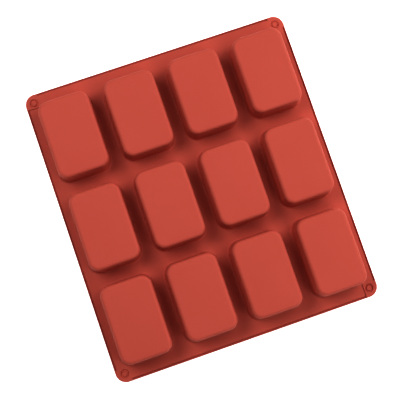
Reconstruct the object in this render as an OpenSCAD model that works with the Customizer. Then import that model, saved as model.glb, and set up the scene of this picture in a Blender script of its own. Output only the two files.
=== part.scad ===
// Twelve-cup silicone soap mould, lying on its rim with its cups upward.
// Columns are numbered from -X to +X, and rows from +Y to -Y.
// The origin is on the surface that the mould lies on, below its centre.

/* [Tray] */
// Width of the tray across its four columns
tray_w = 270; // [262:1:300]
// Length of the tray along its three rows
tray_l = 296; // [284:1:330]
// Radius of the tray's four outer corners
tray_corner_r = 10.5; // [8:0.5:14]
// Thickness of the flat web between the cups
web_t = 2.4; // [2:0.1:3]
// Width of the strip of web that bends between two columns
fold_w = 6; // [4:0.5:6]

/* [Rim] */
// Width of the rim band round the web, flush with it
rim_w = 3.4; // [3:0.1:4]
// Length of the full-height tab at each corner, along both edges beside it
tab_l = 14.1; // [14:0.1:20]
// Width of the thin lip along an edge, between two tabs
lip_w = 0.6; // [0.4:0.1:0.8]
// How far the lip lies below the web
lip_drop = 0.2; // [0.1:0.1:1.1]
// Width of the trim groove inside the lip
trim_w = 1.6; // [0.8:0.1:1.8]
// Depth of the trim groove
trim_depth = 1.9; // [1.2:0.1:1.9]

/* [Cups] */
// Distance between the centres of two columns
column_pitch = 66; // [64:0.5:67]
// Distance between the centres of two rows
row_pitch = 93.6; // [88:0.2:98]
// Width of a cup over its walls, beside its floor
cup_w = 50.8; // [46:0.2:52]
// Length of a cup over its walls, beside its floor
cup_l = 77.4; // [70:0.2:80]
// Height of a cup's floor above the surface that the rim lies on
cup_h = 29.4; // [24:0.2:34]
// Radius of a cup's four upright corners, beside its floor
cup_corner_r = 10; // [6:0.5:12]
// Radius of the edge between a cup's walls and its floor
cup_edge_r = 3.5; // [2.5:0.1:4]
// How far a wall leans outward from its floor down to the web
cup_draft = 1.2; // [0.5:0.1:2]
// Thickness of a cup's walls and floor
cup_t = 1.8; // [1.2:0.1:2.2]
// Radius of the fillet between a cup and the web
foot_r = 2; // [1:0.1:2.5]

/* [Marks] */
// Outer radius of the round mark in each corner of the tray
mark_r = 4.1; // [3:0.1:4.3]
// Width of the groove that draws a round mark
mark_line_w = 1.6; // [1:0.1:2]
// Depth of a round mark
mark_depth = 0.8; // [0.4:0.1:1.2]
// Distance of a round mark's centre from the two edges beside it
mark_inset = 8.6; // [8.4:0.1:9.2]
// Width of the parting lines that run in from two of the tabs
parting_w = 1; // [0.6:0.1:1.4]
// Depth of the parting lines
parting_depth = 1; // [0.4:0.1:1.4]

/* [Hidden] */
columns = 4;
rows = 3;
silicone = "#c44e40";
arc_fn = 96;
floor_gap = 0.3;              // room round a floor, so that it slides clear of its walls
past = 1;                     // how far a cut runs past the face that it opens
fold_names = ["12", "23", "34"];

corner_x = cup_w / 2 - cup_corner_r;      // centre of a cup's corner, from the cup's centre
corner_y = cup_l / 2 - cup_corner_r;
edge_z = cup_h - cup_edge_r;              // where the wall ends and its rounded edge begins
edge_x = cup_corner_r - cup_edge_r;       // centre of the rounded edge, from the corner's centre
foot_x = cup_corner_r + cup_draft;        // the wall's outer face at the web
mark_x = tray_w / 2 - mark_inset;
mark_y = tray_l / 2 - mark_inset;

function column_x(column) = (column - (columns + 1) / 2) * column_pitch;
function row_y(row) = ((rows + 1) / 2 - row) * row_pitch;
function fold_x(fold) = column_x(fold) + column_pitch / 2;
function cup_name(kind, row, column) = str("cup_", kind, "_r", row, "c", column);

// A rectangle whose corners, centred on (x, y), are rounded to radius r
module rounded_rectangle(x, y, r) {
    square([2 * (x + r), 2 * y], center = true);
    square([2 * x, 2 * (y + r)], center = true);
    for (side_x = [-x, x], side_y = [-y, y])
        translate([side_x, side_y]) circle(r, $fn = arc_fn);
}

// Sweeps an upright profile round a rectangle whose corners are centred on (x, y)
module swept_loop(x, y) {
    for (turn = [0, 180]) {
        rotate(turn) translate([x, y, 0]) rotate([90, 0, 0]) linear_extrude(2 * y) children();
        rotate(turn + 90) translate([y, x, 0]) rotate([90, 0, 0]) linear_extrude(2 * x) children();
        rotate(turn) translate([x, y, 0]) rotate_extrude(angle = 90, $fn = arc_fn) children();
        rotate(turn + 90) translate([y, x, 0]) rotate_extrude(angle = 90, $fn = arc_fn) children();
    }
}

// The band of the tray, full length, that one column's panel takes up
module column_band(column) {
    low = column == 1 ? -tray_w : fold_x(column - 1) + fold_w / 2;
    high = column == columns ? tray_w : fold_x(column) - fold_w / 2;
    translate([low, -tray_l]) square([high - low, 2 * tray_l]);
}

module fold_band(fold) {
    translate([fold_x(fold) - fold_w / 2, -tray_l]) square([fold_w, 2 * tray_l]);
}

// The area that a cup takes up on the web, with the fillet at its foot
module cup_footprint() {
    rounded_rectangle(corner_x, corner_y, foot_x + foot_r);
}

// The web's outline inside the rim, with a window for each cup
module web_outline() {
    inner_r = tray_corner_r - rim_w;
    difference() {
        rounded_rectangle(tray_w / 2 - tray_corner_r, tray_l / 2 - tray_corner_r, inner_r);
        for (row = [1:rows], column = [1:columns])
            translate([column_x(column), row_y(row)]) rounded_rectangle(corner_x, corner_y, foot_x);
    }
}

// What is cut away along an edge, seen end on from the edge inward: above the lip, and the trim groove
module trim_profile() {
    lip_z = web_t - lip_drop;
    groove_z = web_t - trim_depth;
    polygon([
        [past, web_t + past],
        [past, lip_z],
        [-lip_w, lip_z],
        [-lip_w, groove_z],
        [-lip_w - trim_w, groove_z],
        [-lip_w - trim_w, web_t + past]
    ]);
}

module trim_cuts() {
    for (turn = [0, 180]) {
        rotate(turn) translate([tray_w / 2, tray_l / 2 - tab_l, 0]) rotate([90, 0, 0])
            linear_extrude(tray_l - 2 * tab_l) trim_profile();
        rotate(turn + 90) translate([tray_l / 2, tray_w / 2 - tab_l, 0]) rotate([90, 0, 0])
            linear_extrude(tray_w - 2 * tab_l) trim_profile();
    }
}

// Two lines left by the mould's parting, each from the end of a corner tab to the cup beside it
module parting_lines() {
    reach = 2 * cup_corner_r;
    line_x = tray_w / 2 - tab_l - parting_w / 2;
    line_y = tray_l / 2 - tab_l - parting_w / 2;
    translate([0, 0, web_t - parting_depth])
        linear_extrude(parting_depth + past)
            difference() {
                union() {
                    translate([-tray_w / 2 - past, line_y]) square([reach, parting_w]);
                    translate([line_x, -tray_l / 2 - past]) square([parting_w, reach]);
                }
                translate([column_x(1), row_y(1)]) cup_footprint();
                translate([column_x(columns), row_y(rows)]) cup_footprint();
            }
}

module corner_marks() {
    for (side_x = [-mark_x, mark_x], side_y = [-mark_y, mark_y])
        translate([side_x, side_y, web_t - mark_depth])
            difference() {
                cylinder(r = mark_r, h = mark_depth + past, $fn = arc_fn);
                translate([0, 0, -past])
                    cylinder(r = mark_r - mark_line_w, h = mark_depth + 3 * past, $fn = arc_fn);
            }
}

// The whole rim band: full height at the four corner tabs, and a thin lip and a groove between them
module rim_loop() {
    difference() {
        swept_loop(tray_w / 2 - tray_corner_r, tray_l / 2 - tray_corner_r)
            translate([tray_corner_r - rim_w, 0]) square([rim_w, web_t]);
        trim_cuts();
        parting_lines();
    }
}

module web(column) {
    color(silicone)
        difference() {
            linear_extrude(web_t)
                intersection() {
                    web_outline();
                    column_band(column);
                }
            if (column == 1 || column == columns) {
                corner_marks();
                parting_lines();
            }
        }
}

// The strip of web and rim between two columns, which bends when they fold
module fold_strip(number) {
    color(silicone) {
        linear_extrude(web_t)
            intersection() {
                web_outline();
                fold_band(number);
            }
        intersection() {
            rim_loop();
            linear_extrude(web_t) fold_band(number);
        }
    }
}

// The rim along one column's edge of the tray: the end columns carry both ends and a side
module rim(column) {
    color(silicone)
        intersection() {
            rim_loop();
            linear_extrude(web_t) column_band(column);
        }
}

// One straight length of rim, on the far side (1) or the near side (-1) of a middle column
module rim_length(column, side) {
    intersection() {
        rim(column);
        translate([-tray_w / 2, side > 0 ? 0 : -tray_l, 0]) cube([tray_w, tray_l, web_t]);
    }
}

// Upright profile of a wall, from the mouth to the rounded edge beside the floor
module wall_side(inset) {
    polygon([
        [edge_x, 0],
        [foot_x - inset, 0],
        [foot_x - inset, web_t],
        [cup_corner_r - inset, edge_z],
        [edge_x, edge_z]
    ]);
    intersection() {
        translate([edge_x, edge_z]) circle(cup_edge_r - inset, $fn = arc_fn);
        translate([edge_x, edge_z]) square(cup_edge_r);
    }
}

module wall_profile() {
    difference() {
        wall_side(0);
        translate([-past, -past]) square([edge_x + past, edge_z + past]);
        wall_side(cup_t);
        translate([edge_x, -past]) square([foot_x - cup_t - edge_x, past]);
    }
    difference() {
        translate([foot_x - foot_r / 2, web_t]) square([foot_r * 3 / 2, foot_r]);
        translate([foot_x + foot_r, web_t + foot_r]) circle(foot_r, $fn = arc_fn);
    }
}

module cup_wall(row, column) {
    color(silicone)
        translate([column_x(column), row_y(row), 0]) swept_loop(corner_x, corner_y) wall_profile();
}

module cup_floor(row, column) {
    color(silicone)
        translate([column_x(column), row_y(row), cup_h - cup_t])
            linear_extrude(cup_t) rounded_rectangle(corner_x, corner_y, edge_x - floor_gap);
}

for (column = [1:columns])
    web(column);
for (number = [1:columns - 1])
    fold_strip(number);
rim(1);  // rim_left
rim(columns);  // rim_right
rim_length(2, 1);  // rim_far_2
rim_length(3, 1);  // rim_far_3
rim_length(2, -1);  // rim_near_2
rim_length(3, -1);  // rim_near_3
for (row = [1:rows], column = [1:columns]) {
    cup_wall(row, column);
    cup_floor(row, column);
}
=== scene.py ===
import math
import bmesh
import bpy
from mathutils import Matrix, Vector


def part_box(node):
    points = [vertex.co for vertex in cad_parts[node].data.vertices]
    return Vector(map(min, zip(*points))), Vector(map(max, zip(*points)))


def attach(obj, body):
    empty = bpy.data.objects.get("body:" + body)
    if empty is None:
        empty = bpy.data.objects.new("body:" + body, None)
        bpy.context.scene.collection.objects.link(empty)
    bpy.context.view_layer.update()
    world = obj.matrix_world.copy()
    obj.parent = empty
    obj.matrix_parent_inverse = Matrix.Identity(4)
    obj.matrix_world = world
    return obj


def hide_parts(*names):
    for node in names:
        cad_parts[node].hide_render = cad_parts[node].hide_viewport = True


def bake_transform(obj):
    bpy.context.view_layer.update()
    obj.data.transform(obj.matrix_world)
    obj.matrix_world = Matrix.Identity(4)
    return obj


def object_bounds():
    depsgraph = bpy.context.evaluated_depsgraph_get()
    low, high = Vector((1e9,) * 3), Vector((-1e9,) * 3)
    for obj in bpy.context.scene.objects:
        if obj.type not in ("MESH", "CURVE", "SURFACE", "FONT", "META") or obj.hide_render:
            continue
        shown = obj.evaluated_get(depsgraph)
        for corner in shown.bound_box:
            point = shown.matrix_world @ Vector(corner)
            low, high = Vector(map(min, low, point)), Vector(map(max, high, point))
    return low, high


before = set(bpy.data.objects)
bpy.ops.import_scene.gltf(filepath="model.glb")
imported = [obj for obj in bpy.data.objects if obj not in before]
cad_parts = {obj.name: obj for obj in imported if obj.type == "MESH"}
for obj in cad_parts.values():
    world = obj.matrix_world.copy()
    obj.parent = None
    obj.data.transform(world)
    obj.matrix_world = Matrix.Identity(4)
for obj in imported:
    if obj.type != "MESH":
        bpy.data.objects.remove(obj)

# A silicone soap mould lies on its rim with its twelve cups upward.
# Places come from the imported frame. Sizes in the dictionaries are millimetres, unless a note says otherwise.
mm = 0.001
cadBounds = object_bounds()
low, high = Vector(cadBounds[0]), Vector(cadBounds[1])
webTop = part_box("web_2")[1][2] / mm
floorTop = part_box("cup_floor_r1c1")[1][2] / mm
rowNumbers, columnNumbers = (1, 2, 3), (1, 2, 3, 4)
foldNames = ("12", "23", "34")
weldDistance = 1e-6     # metres, for points that should meet
sliceDistance = 1e-7    # metres, for points that already lie on a cut
sharpAngle = 32         # degrees between faces past which an edge shades crisp


def srgb(code):
    # sRGB hex to the linear colour that the shader sockets want
    parts = [int(code[i:i + 2], 16) / 255 for i in (1, 3, 5)]
    return [c / 12.92 if c <= 0.04045 else ((c + 0.055) / 1.055) ** 2.4 for c in parts] + [1]


def addNode(tree, kind, place, settings=None, links=None):
    # settings are node properties or input values, and links are {input: output socket}
    node = tree.nodes.new(kind)
    node.location = place
    for name, value in (settings or {}).items():
        if name in node.inputs:
            node.inputs[name].default_value = value
        else:
            setattr(node, name, value)
    for name, source in (links or {}).items():
        tree.links.new(source, node.inputs[name])
    return node


def arc(centreIn, centreUp, radius, start, end, steps):
    # points (in, up) along an arc, in millimetres, with angles in degrees from the inward direction
    points = []
    for step in range(steps + 1):
        angle = math.radians(start + (end - start) * step / steps)
        points.append((centreIn + radius * math.cos(angle), centreUp + radius * math.sin(angle)))
    return points


def roundedPlate(bm, centre, half, cornerRadius, cornerSteps, straightCuts=0):
    # one flat face with rounded corners, facing up, in metres
    plate = bmesh.ops.create_grid(bm, x_segments=1, y_segments=1, size=1)
    corners = plate["verts"]
    bmesh.ops.scale(bm, vec=(half[0], half[1], 1), verts=corners)
    bmesh.ops.translate(bm, vec=centre, verts=corners)
    rounded = bmesh.ops.bevel(
        bm, geom=corners, offset=cornerRadius, offset_type="OFFSET", segments=cornerSteps,
        profile=0.5, affect="VERTICES", material=-1)
    face = max((f for v in rounded["verts"] for f in v.link_faces), key=lambda f: f.calc_area())
    if straightCuts:
        longEdges = [e for e in face.edges if e.calc_length() > cornerRadius]
        bmesh.ops.bisect_edges(bm, edges=longEdges, cuts=straightCuts)
    return face


def raisePlate(bm, face, height):
    # turns the flat face into a slab, which keeps it as its bottom, and returns the bottom and top faces
    raised = bmesh.ops.extrude_face_region(bm, geom=[face], use_keep_orig=True)
    top = next(g for g in raised["geom"] if isinstance(g, bmesh.types.BMFace))
    bmesh.ops.translate(bm, vec=(0, 0, height), verts=top.verts)
    bmesh.ops.recalc_face_normals(bm, faces=bm.faces)
    return face, top


def followProfile(bm, face, points, outward):
    # insets the face again and again, so that its outline sweeps along the profile's points
    for (inFrom, upFrom), (inTo, upTo) in zip(points, points[1:]):
        bmesh.ops.inset_region(
            bm, faces=[face], thickness=(inTo - inFrom) * mm, depth=(upTo - upFrom) * mm * outward,
            use_even_offset=True, use_boundary=True)


def finishPiece(bm, name, material):
    bmesh.ops.recalc_face_normals(bm, faces=bm.faces)
    mesh = bpy.data.meshes.new(name)
    bm.to_mesh(mesh)
    bm.free()
    piece = bpy.data.objects.new(name, mesh)
    bpy.context.scene.collection.objects.link(piece)
    if material:
        mesh.materials.append(material)
    mesh.shade_smooth()
    mesh.set_sharp_from_angle(angle=math.radians(sharpAngle))
    return piece


siliconeLook = {
    "fresh": "#bc5c4e",           # where the pigment is densest
    "chalky": "#b75748",          # where the surface is a little duller
    "patchSize": 70,              # size of the colour patches
    "smearSize": 21,              # size of the duller and shinier places
    "roughness": (0.58, 0.7),     # from the shiniest place to the dullest
    "grain": 0.55,                # moulded matt grain, coarser than the real 0.05 mm so that it shows
    "grainHeight": 0.04,
    "grainStrength": 0.18,
    "ripple": 22,                 # slow ripple of a soft wall
    "rippleHeight": 0.6,
    "rippleStrength": 0.25,
    "ior": 1.41,                  # silicone rubber
    "shine": 0.3,                 # the blasted skin scatters most of the shine
    "waxiness": 0.04,             # share of the light that softens under the skin
    "scatterReach": 1.5,
    "scatterColour": (1.0, 0.35, 0.2),
}


def makeSilicone():
    # platinum-cured silicone, compression moulded in a blasted steel tool: matt, waxy, a little translucent
    look = siliconeLook
    material = bpy.data.materials.new("mouldedSiliconeTerracotta")
    material.use_nodes = True
    tree = material.node_tree
    shader = tree.nodes["Principled BSDF"]
    place = addNode(tree, "ShaderNodeTexCoord", (-1300, 0)).outputs["Object"]
    patches = addNode(
        tree, "ShaderNodeTexNoise", (-1050, 250),
        {"Scale": 1 / (look["patchSize"] * mm), "Detail": 3.0, "Roughness": 0.5}, {"Vector": place})
    tint = addNode(
        tree, "ShaderNodeMix", (-750, 250),
        {"data_type": "RGBA"}, {"Factor": patches.outputs["Fac"]})
    tint.inputs[6].default_value = srgb(look["fresh"])
    tint.inputs[7].default_value = srgb(look["chalky"])
    smear = addNode(
        tree, "ShaderNodeTexNoise", (-1050, 0),
        {"Scale": 1 / (look["smearSize"] * mm), "Detail": 4.0, "Roughness": 0.6}, {"Vector": place})
    dull = addNode(
        tree, "ShaderNodeMapRange", (-750, 0),
        {"From Min": 0.3, "From Max": 0.7, "To Min": look["roughness"][0], "To Max": look["roughness"][1]},
        {"Value": smear.outputs["Fac"]})
    grain = addNode(
        tree, "ShaderNodeTexNoise", (-1050, -250),
        {"Scale": 1 / (look["grain"] * mm), "Detail": 2.0, "Roughness": 0.6}, {"Vector": place})
    ripple = addNode(
        tree, "ShaderNodeTexNoise", (-1050, -500),
        {"Scale": 1 / (look["ripple"] * mm), "Detail": 1.0, "Roughness": 0.4}, {"Vector": place})
    slow = addNode(
        tree, "ShaderNodeBump", (-700, -450),
        {"Strength": look["rippleStrength"], "Distance": look["rippleHeight"] * mm},
        {"Height": ripple.outputs["Fac"]})
    fine = addNode(
        tree, "ShaderNodeBump", (-450, -300),
        {"Strength": look["grainStrength"], "Distance": look["grainHeight"] * mm},
        {"Height": grain.outputs["Fac"], "Normal": slow.outputs["Normal"]})
    tree.links.new(tint.outputs[2], shader.inputs["Base Color"])
    tree.links.new(dull.outputs["Result"], shader.inputs["Roughness"])
    tree.links.new(fine.outputs["Normal"], shader.inputs["Normal"])
    shader.inputs["IOR"].default_value = look["ior"]
    shader.inputs["Specular IOR Level"].default_value = look["shine"]
    shader.inputs["Subsurface Weight"].default_value = look["waxiness"]
    shader.inputs["Subsurface Radius"].default_value = look["scatterColour"]
    shader.inputs["Subsurface Scale"].default_value = look["scatterReach"] * mm
    return material


silicone = makeSilicone()
print("silicone made")


cup = {
    "footRadius": 13.2,           # corner radius of the fillet's outer edge on the web
    "seam": 0.1,                  # flat web that a cup piece takes along outside its fillet
    "footFillet": 2.0,
    "footSteps": 6,
    "wallBottom": 11.2,           # corner radius of the outer wall, carried down to the web
    "wallSteps": 8,
    "draft": 2.92,                # degrees that the wall leans
    "edgeRadius": 3.5,            # rounded edge between wall and floor
    "edgeSteps": 8,
    "thickness": 1.8,
    "mouthRound": 1.0,
    "mouthSteps": 4,              # also across the rounded edge inside
    "cornerSteps": 14,
    "straightCuts": 5,
    "crown": 0.35,                # how far the middle of a floor stands proud
    "floorRing": 0.5,             # flat strip inside the rounded edge, so that the floor shades flat
    "ringReach": 0.8,             # how far in the even rings go, as a share of the floor's corner radius
    "ringShrink": (0.8, 0.72, 0.6, 0.45),
    "stillFoot": 3,               # a height above the web
}


def cupPlace(row, column):
    lowest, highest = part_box(f"cup_wall_r{row}c{column}")
    return (Vector(lowest) + Vector(highest)) / 2


def cupOutline(bm, row, column, z):
    # the rounded rectangle where a cup piece meets the web
    lowest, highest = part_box(f"cup_wall_r{row}c{column}")
    seam = cup["seam"] * mm
    half = ((highest[0] - lowest[0]) / 2 + seam, (highest[1] - lowest[1]) / 2 + seam)
    centre = cupPlace(row, column)
    return roundedPlate(
        bm, (centre.x, centre.y, z), half, (cup["footRadius"] + cup["seam"]) * mm,
        cup["cornerSteps"], cup["straightCuts"])


tray = {
    "cornerRadius": 10.5,
    "cornerSteps": 14,
    "edgeRound": 0.3,             # round of the outer edge, above and below
    "edgeSteps": 4,
    "flatRing": 0.5,              # flat strip beside that round, so that the web shades flat
    "tabLength": 14.1,            # full-height tab left at each corner, along both sides
    "lipWidth": 0.6,              # thin lip along each side between two tabs
    "lipHeight": 2.2,
    "lipBreak": 0.25,             # broken edges of the lip and of the groove
    "trimWidth": 1.6,             # groove inside the lip, where the moulding was torn from its flash
    "trimDepth": 1.9,
    "markRadius": 3.3,            # middle of the round groove in each corner
    "markInset": 8.6,
    "markHalfWidth": 1.0,
    "markDepth": 1.4,
    "markSides": 12,              # sides of the oval that sweeps out a mark
    "markSteps": 40,
    "partingWidth": 1.0,          # straight groove across the margin, from a side to the nearest cup
    "partingDepth": 1.0,
    "partingReach": 14,
    "cutPast": 2,                 # how far a cutting shape reaches past what it cuts
    "foldSteps": 8,               # cuts across a strip that bends
}


def makeTray():
    bm = bmesh.new()
    turn = tray["edgeRound"]
    face = roundedPlate(
        bm, ((low.x + high.x) / 2, (low.y + high.y) / 2, turn * mm),
        ((high.x - low.x) / 2, (high.y - low.y) / 2), tray["cornerRadius"] * mm, tray["cornerSteps"])
    bottom, top = raisePlate(bm, face, (webTop - 2 * turn) * mm)
    over = arc(turn, webTop - turn, turn, 180, 90, tray["edgeSteps"])
    followProfile(bm, top, over + [(turn + tray["flatRing"], webTop)], 1)
    followProfile(bm, bottom, arc(turn, turn, turn, 180, 270, tray["edgeSteps"]), -1)
    return finishPiece(bm, "tray", silicone)


def makeWindows():
    # a slab for each cup, which cuts its window in the web
    bm = bmesh.new()
    past = tray["cutPast"]
    for row in rowNumbers:
        for column in columnNumbers:
            raisePlate(bm, cupOutline(bm, row, column, -past * mm), (webTop + 2 * past) * mm)
    return finishPiece(bm, "windows", None)


def slabAlong(bm, start, inward, along, length, profile):
    # extrudes a closed profile of (in from the edge, up) points in millimetres along one side of the tray
    ring = [bm.verts.new(start + inward * (x * mm) + Vector((0, 0, up * mm))) for x, up in profile]
    slab = bmesh.ops.extrude_face_region(bm, geom=[bm.faces.new(ring)], use_keep_orig=True)
    moved = [g for g in slab["geom"] if isinstance(g, bmesh.types.BMVert)]
    bmesh.ops.translate(bm, vec=along * length, verts=moved)


def makeRebates():
    # what is cut away along each side from tab to tab: above the thin lip, and the trim groove inside it
    bm = bmesh.new()
    width, height, edge, past = tray["lipWidth"], tray["lipHeight"], tray["lipBreak"], tray["cutPast"]
    inside, floor = width + tray["trimWidth"], webTop - tray["trimDepth"]
    profile = [
        (-past, webTop + past), (-past, height - edge), (0, height - edge), (edge, height), (width, height),
        (width, floor), (inside, floor), (inside, webTop - edge), (inside + edge + past, webTop + past)]
    tab = tray["tabLength"] * mm
    for start, inward, along in (
            ((low.x, low.y + tab, 0), (1, 0, 0), (0, 1, 0)),
            ((low.x + tab, low.y, 0), (0, 1, 0), (1, 0, 0)),
            ((high.x, low.y + tab, 0), (-1, 0, 0), (0, 1, 0)),
            ((low.x + tab, high.y, 0), (0, -1, 0), (1, 0, 0))):
        span = (high - low).dot(Vector(along)) - 2 * tab
        slabAlong(bm, Vector(start), Vector(inward), Vector(along), span, profile)
    return finishPiece(bm, "rebates", None)


def makeMarks():
    # the round grooves in the four corners
    bm = bmesh.new()
    inset, halfWidth = tray["markInset"] * mm, tray["markHalfWidth"]
    for x in (low.x + inset, high.x - inset):
        for y in (low.y + inset, high.y - inset):
            centre = Vector((x, y, webTop * mm))
            oval = bmesh.ops.create_circle(bm, segments=tray["markSides"], radius=halfWidth * mm)["verts"]
            bmesh.ops.scale(bm, vec=(1, tray["markDepth"] / halfWidth, 1), verts=oval)
            bmesh.ops.rotate(bm, cent=(0, 0, 0), matrix=Matrix.Rotation(math.pi / 2, 3, "X"), verts=oval)
            bmesh.ops.translate(bm, vec=centre + Vector((tray["markRadius"] * mm, 0, 0)), verts=oval)
            edges = list(dict.fromkeys(e for v in oval for e in v.link_edges))
            bmesh.ops.spin(
                bm, geom=oval + edges, cent=centre, axis=(0, 0, 1), angle=2 * math.pi,
                steps=tray["markSteps"], use_merge=True)
    bmesh.ops.remove_doubles(bm, verts=bm.verts, dist=weldDistance)
    return finishPiece(bm, "marks", None)


def makePartings():
    # one across the left margin by the far corner, and one across the near margin by the right corner
    bm = bmesh.new()
    width, reach, past = tray["partingWidth"], tray["partingReach"], tray["cutPast"]
    floor = webTop - tray["partingDepth"]
    profile = [(-past, webTop + past), (-past, floor), (reach, floor), (reach, webTop + past)]
    for corner, inward, along in (
            ((low.x, high.y, 0), (1, 0, 0), (0, -1, 0)),
            ((high.x, low.y, 0), (0, 1, 0), (-1, 0, 0))):
        start = Vector(corner) + Vector(along) * ((tray["tabLength"] - width / 2) * mm)
        slabAlong(bm, start, Vector(inward), Vector(along), width * mm, profile)
    return finishPiece(bm, "partings", None)


def cutAway(piece, cutter):
    modifier = piece.modifiers.new("cut", "BOOLEAN")
    modifier.operation = "DIFFERENCE"
    modifier.solver = "EXACT"
    modifier.object = cutter
    bpy.context.view_layer.update()
    result = bpy.data.meshes.new_from_object(piece.evaluated_get(bpy.context.evaluated_depsgraph_get()))
    piece.modifiers.clear()
    piece.data = result
    bpy.data.objects.remove(cutter)


def cutAcross(bm, x, direction, clearOuter):
    # cuts the mesh at x, and drops what lies beyond it where asked
    bmesh.ops.bisect_plane(
        bm, geom=list(bm.verts) + list(bm.edges) + list(bm.faces), dist=sliceDistance,
        plane_co=(x, 0, 0), plane_no=(direction, 0, 0), clear_outer=clearOuter)


def bandOf(whole, name, fromX, toX, steps=1):
    # the part of the tray between two planes across it, closed where it is cut
    bm = bmesh.new()
    bm.from_mesh(whole.data)
    for x, direction in ((fromX, -1), (toX, 1)):
        if x is not None:
            cutAcross(bm, x, direction, True)
            bmesh.ops.holes_fill(bm, edges=[e for e in bm.edges if e.is_boundary], sides=0)
    for step in range(1, steps):
        cutAcross(bm, fromX + (toX - fromX) * step / steps, 1, False)
    return finishPiece(bm, name, silicone)


whole = makeTray()
for cutter in (makeWindows(), makeRebates(), makeMarks(), makePartings()):
    cutAway(whole, cutter)
foldEdges = [(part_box(f"strip_{name}")[0][0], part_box(f"strip_{name}")[1][0]) for name in foldNames]
for column in columnNumbers:
    fromX = foldEdges[column - 2][1] if column > 1 else None
    toX = foldEdges[column - 1][0] if column < 4 else None
    panel = bandOf(whole, f"webPanel_{column}", fromX, toX)
    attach(panel, f"column_{column}")
    rims = {1: ["rim_left"], 4: ["rim_right"]}.get(column, [f"rim_far_{column}", f"rim_near_{column}"])
    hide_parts(f"web_{column}", *rims)
for name, (fromX, toX) in zip(foldNames, foldEdges):
    strip = bandOf(whole, f"foldStrip_{name}", fromX, toX, tray["foldSteps"])
    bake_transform(strip)
    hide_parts(f"strip_{name}")
bpy.data.objects.remove(whole)
print("tray made")


def wallPoints(start, end):
    # the points (in, up) between the two ends of a wall
    steps = cup["wallSteps"]
    return [
        (start[0] + (end[0] - start[0]) * step / steps, start[1] + (end[1] - start[1]) * step / steps)
        for step in range(1, steps)]


def outerProfile():
    # points (in from the seam, up) from the web over the fillet, the wall and the rounded edge to the floor,
    # and the corner radius that is left on the floor
    seamRadius = cup["footRadius"] + cup["seam"]
    lean, fillet, edge = cup["draft"], cup["footFillet"], cup["edgeRadius"]
    slope, cosine, sine = (f(math.radians(lean)) for f in (math.tan, math.cos, math.sin))
    footUp = webTop + fillet * (1 - sine)
    wallAtFoot = cup["wallBottom"] - (footUp - webTop) * slope
    footCentre = wallAtFoot + fillet * cosine
    edgeUp = floorTop - edge * (1 - sine)
    wallAtEdge = cup["wallBottom"] - (edgeUp - webTop) * slope
    edgeCentre = wallAtEdge - edge * cosine
    foot = arc(seamRadius - footCentre, webTop + fillet, fillet, 270, 360 - lean, cup["footSteps"])
    wall = wallPoints((seamRadius - wallAtFoot, footUp), (seamRadius - wallAtEdge, edgeUp))
    rounded = arc(seamRadius - edgeCentre, floorTop - edge, edge, 180 - lean, 90, cup["edgeSteps"])
    return [(0, webTop)] + foot + wall + rounded, edgeCentre


def innerProfile():
    # the same from the underside over the mouth and the inner wall to the ceiling
    seamRadius = cup["footRadius"] + cup["seam"]
    lean, thick, mouth = cup["draft"], cup["thickness"], cup["mouthRound"]
    slope, cosine, sine = (f(math.radians(lean)) for f in (math.tan, math.cos, math.sin))
    edge, ceiling = cup["edgeRadius"] - thick, floorTop - thick
    innerAtWeb = cup["wallBottom"] - thick / cosine
    mouthUp = mouth * (1 - sine)
    wallAtMouth = innerAtWeb + (webTop - mouthUp) * slope
    mouthCentre = wallAtMouth + mouth * cosine
    edgeUp = ceiling - edge * (1 - sine)
    wallAtEdge = innerAtWeb - (edgeUp - webTop) * slope
    edgeCentre = wallAtEdge - edge * cosine
    opening = arc(seamRadius - mouthCentre, mouth, mouth, 270, 360 - lean, cup["mouthSteps"])
    wall = wallPoints((seamRadius - wallAtMouth, mouthUp), (seamRadius - wallAtEdge, edgeUp))
    rounded = arc(seamRadius - edgeCentre, ceiling - edge, edge, 180 - lean, 90, cup["mouthSteps"])
    return [(0, 0)] + opening + wall + rounded, edgeCentre


def closeFloor(bm, face, cornerLeft):
    # carries the flat floor to its middle in shrinking rings, for the crown to bend
    # each extrude takes the face's edges too, so that the old face doesn't stay behind inside
    followProfile(bm, face, [(0, 0), (cup["floorRing"], 0), (cornerLeft * cup["ringReach"], 0)], 1)
    for shrink in cup["ringShrink"]:
        inner = bmesh.ops.extrude_face_region(bm, geom=[face, *face.edges])
        face = next(g for g in inner["geom"] if isinstance(g, bmesh.types.BMFace))
        middle = face.calc_center_median()
        bmesh.ops.scale(bm, vec=(shrink, shrink, 1), space=Matrix.Translation(-middle), verts=face.verts)
    bmesh.ops.poke(bm, faces=[face])


def makeCup(row, column):
    bm = bmesh.new()
    centre = cupPlace(row, column)
    bottom, top = raisePlate(bm, cupOutline(bm, row, column, 0), webTop * mm)
    outer, outerLeft = outerProfile()
    inner, innerLeft = innerProfile()
    followProfile(bm, top, outer, 1)
    closeFloor(bm, top, outerLeft)
    followProfile(bm, bottom, inner, -1)
    closeFloor(bm, bottom, innerLeft)
    lowest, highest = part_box(f"cup_floor_r{row}c{column}")
    halfX, halfY = (highest[0] - lowest[0]) / 2, (highest[1] - lowest[1]) / 2
    for v in bm.verts:
        if v.co.z > lowest[2] - weldDistance:
            x, y = (v.co.x - centre.x) / halfX, (v.co.y - centre.y) / halfY
            if abs(x) < 1 and abs(y) < 1:
                v.co.z += cup["crown"] * mm * (1 - x * x) * (1 - y * y)
    piece = finishPiece(bm, f"cup_r{row}c{column}", silicone)
    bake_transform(piece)
    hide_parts(f"cup_wall_r{row}c{column}", f"cup_floor_r{row}c{column}")


for row in rowNumbers:
    for column in columnNumbers:
        makeCup(row, column)
print("cups made")


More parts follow.
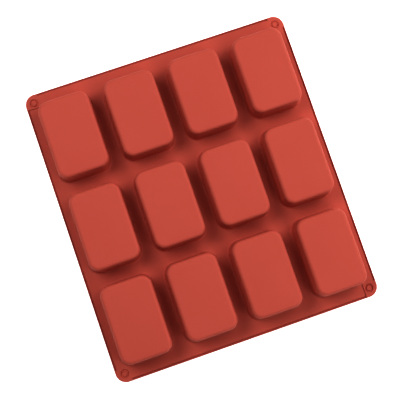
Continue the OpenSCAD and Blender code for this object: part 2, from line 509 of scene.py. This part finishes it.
studio = {
    "floor": "#f6f6f5",
    "floorHalf": 3.0,             # metres from the middle of the floor to its sides
    "floorRoughness": 0.9,
    "floorGlow": 0.8,             # lit from below like a light table, so that shadows on it stay faint
    "air": 0.01,                  # strength of the even light all round
    "backdrop": 0.82,             # how bright the pale backdrop looks behind the mould
    "boxDistance": 1.0,           # metres from each softbox to the mould
    "softboxes": {                # bearing and height in degrees, width and height in metres, watts
        "softboxRight": (30, 58, 0.6, 0.5, 2.5),
        "softboxLow": (15, 25, 0.6, 0.4, 5.0),
        "softboxLeft": (142, 54, 0.6, 0.5, 7.0),
        "softboxNear": (302, 42, 0.5, 0.5, 2.9),
        "softboxFront": (330, 58, 0.6, 0.5, 2.5),
    },
    "contrast": 0.714,            # display gamma: a crisp studio print
}

viewpoint = {
    "place": (-0.0744, -0.0787, 0.9810),    # metres, nearly overhead
    "aim": (-0.0024, -0.0035, 0),
    "upward": (0.3213, 0.9421, 0.0958),     # turns the tray's long side in the picture
    "sensor": 36,
    "lens": 90,
}


def makeFloor():
    bm = bmesh.new()
    bmesh.ops.create_grid(bm, x_segments=1, y_segments=1, size=studio["floorHalf"])
    material = bpy.data.materials.new("paintedFloor")
    material.use_nodes = True
    shader = material.node_tree.nodes["Principled BSDF"]
    shader.inputs["Base Color"].default_value = srgb(studio["floor"])
    shader.inputs["Roughness"].default_value = studio["floorRoughness"]
    shader.inputs["Emission Color"].default_value = srgb(studio["floor"])
    shader.inputs["Emission Strength"].default_value = studio["floorGlow"]
    floor = finishPiece(bm, "studioFloor", material)


def makeAir():
    # the backdrop shows pale behind the mould, and only a little of it lights the room
    world = bpy.data.worlds.new("studioAir")
    world.use_nodes = True
    tree = world.node_tree
    air = tree.nodes["Background"]
    air.inputs["Color"].default_value = (1, 1, 1, 1)
    air.inputs["Strength"].default_value = studio["air"]
    backdrop = addNode(
        tree, "ShaderNodeBackground", (0, -200),
        {"Color": srgb(studio["floor"]), "Strength": studio["backdrop"]})
    seen = addNode(tree, "ShaderNodeLightPath", (0, 300)).outputs["Is Camera Ray"]
    both = addNode(tree, "ShaderNodeMixShader", (250, 0), None, {"Fac": seen})
    tree.links.new(air.outputs["Background"], both.inputs[1])
    tree.links.new(backdrop.outputs["Background"], both.inputs[2])
    tree.links.new(both.outputs["Shader"], tree.nodes["World Output"].inputs["Surface"])
    bpy.context.scene.world = world


def makeLight(name, bearing, height, width, tall, power):
    away = studio["boxDistance"]
    along, up = away * math.cos(math.radians(height)), away * math.sin(math.radians(height))
    place = (along * math.cos(math.radians(bearing)), along * math.sin(math.radians(bearing)), up)
    light = bpy.data.lights.new(name, "AREA")
    light.shape = "RECTANGLE"
    light.size, light.size_y = width, tall
    light.energy = power
    lamp = bpy.data.objects.new(name, light)
    lamp.location = place
    lamp.rotation_euler = (-Vector(place)).to_track_quat("-Z", "Y").to_euler()
    bpy.context.scene.collection.objects.link(lamp)


def makeCamera():
    place, aim, upward = (Vector(viewpoint[name]) for name in ("place", "aim", "upward"))
    back = (place - aim).normalized()
    right = upward.cross(back).normalized()
    camera = bpy.data.cameras.new("camera")
    camera.sensor_width = viewpoint["sensor"]
    camera.lens = viewpoint["lens"]
    body = bpy.data.objects.new("camera", camera)
    turned = Matrix((right, back.cross(right), back)).transposed().to_4x4()
    body.matrix_world = Matrix.Translation(place) @ turned
    bpy.context.scene.collection.objects.link(body)
    bpy.context.scene.camera = body


bpy.context.scene.view_settings.view_transform = "Standard"
bpy.context.scene.view_settings.gamma = studio["contrast"]
makeAir()
makeFloor()
for name, setting in studio["softboxes"].items():
    makeLight(name, *setting)
makeCamera()
print("studio made")
